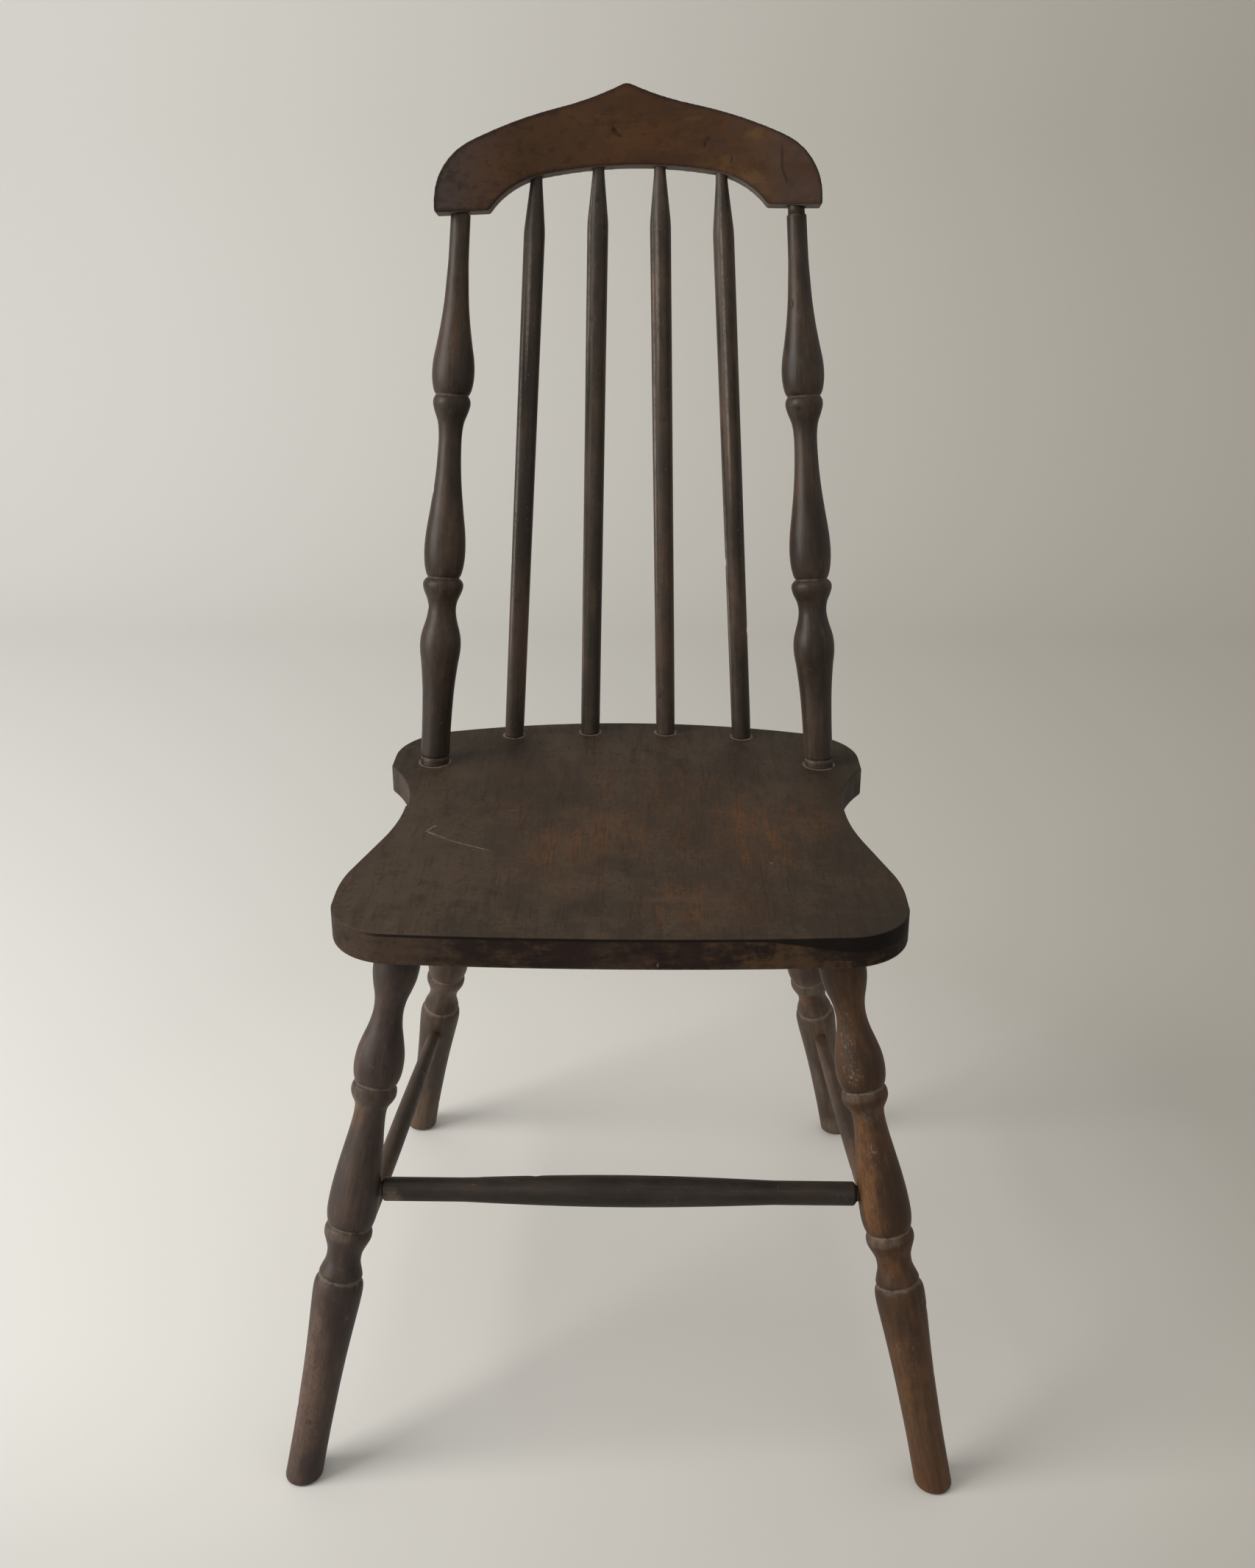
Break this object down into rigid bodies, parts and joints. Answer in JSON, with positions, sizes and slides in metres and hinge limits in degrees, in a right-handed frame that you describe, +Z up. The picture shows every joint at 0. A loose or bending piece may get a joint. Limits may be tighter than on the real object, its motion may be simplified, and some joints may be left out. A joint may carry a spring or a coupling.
{
  "type": "spindle-back wooden side chair",
  "caption": "Tall spindle-back wooden side chair with a shaped plank seat, turned legs and posts, stretchers and a bowed, peaked crest rail; dark stain worn through.",
  "frame": {"origin": "on the floor, under the middle of the chair's box", "axes": "+Z up, +X to the right of someone facing the chair, -Y the way the chair's front looks"},
  "size_m": [0.5146, 0.5682, 0.9965],
  "materials": {
    "seat_wood": "dark brown stained plank, rubbed through to warm red-brown wood on the right and towards the front, one pale scratch",
    "crest_wood": "red-brown stained wood with grain along the rail, dark edges, dents and a short crack",
    "post_wood": "satin dark brown to black stained turned wood",
    "spindle_wood": "satin dark brown stained dowels with fine pale nicks",
    "leg_wood": "dark stain worn to warm brown, pale dust and bare wood in the grooves, scuffed feet",
    "stretcher_wood": "near-black stained turned wood"
  },
  "bodies": {
    "root": {"seat": "seat_wood", "crest_rail": "crest_wood", "back_post_left": "post_wood", "back_post_right": "post_wood", "spindle_1": "spindle_wood", "spindle_2": "spindle_wood", "spindle_3": "spindle_wood", "spindle_4": "spindle_wood", "leg_front_left": "leg_wood", "leg_front_right": "leg_wood", "leg_rear_left": "leg_wood", "leg_rear_right": "leg_wood", "stretcher_front": "stretcher_wood", "stretcher_left": "stretcher_wood", "stretcher_right": "stretcher_wood"}
  },
  "joints": []
}
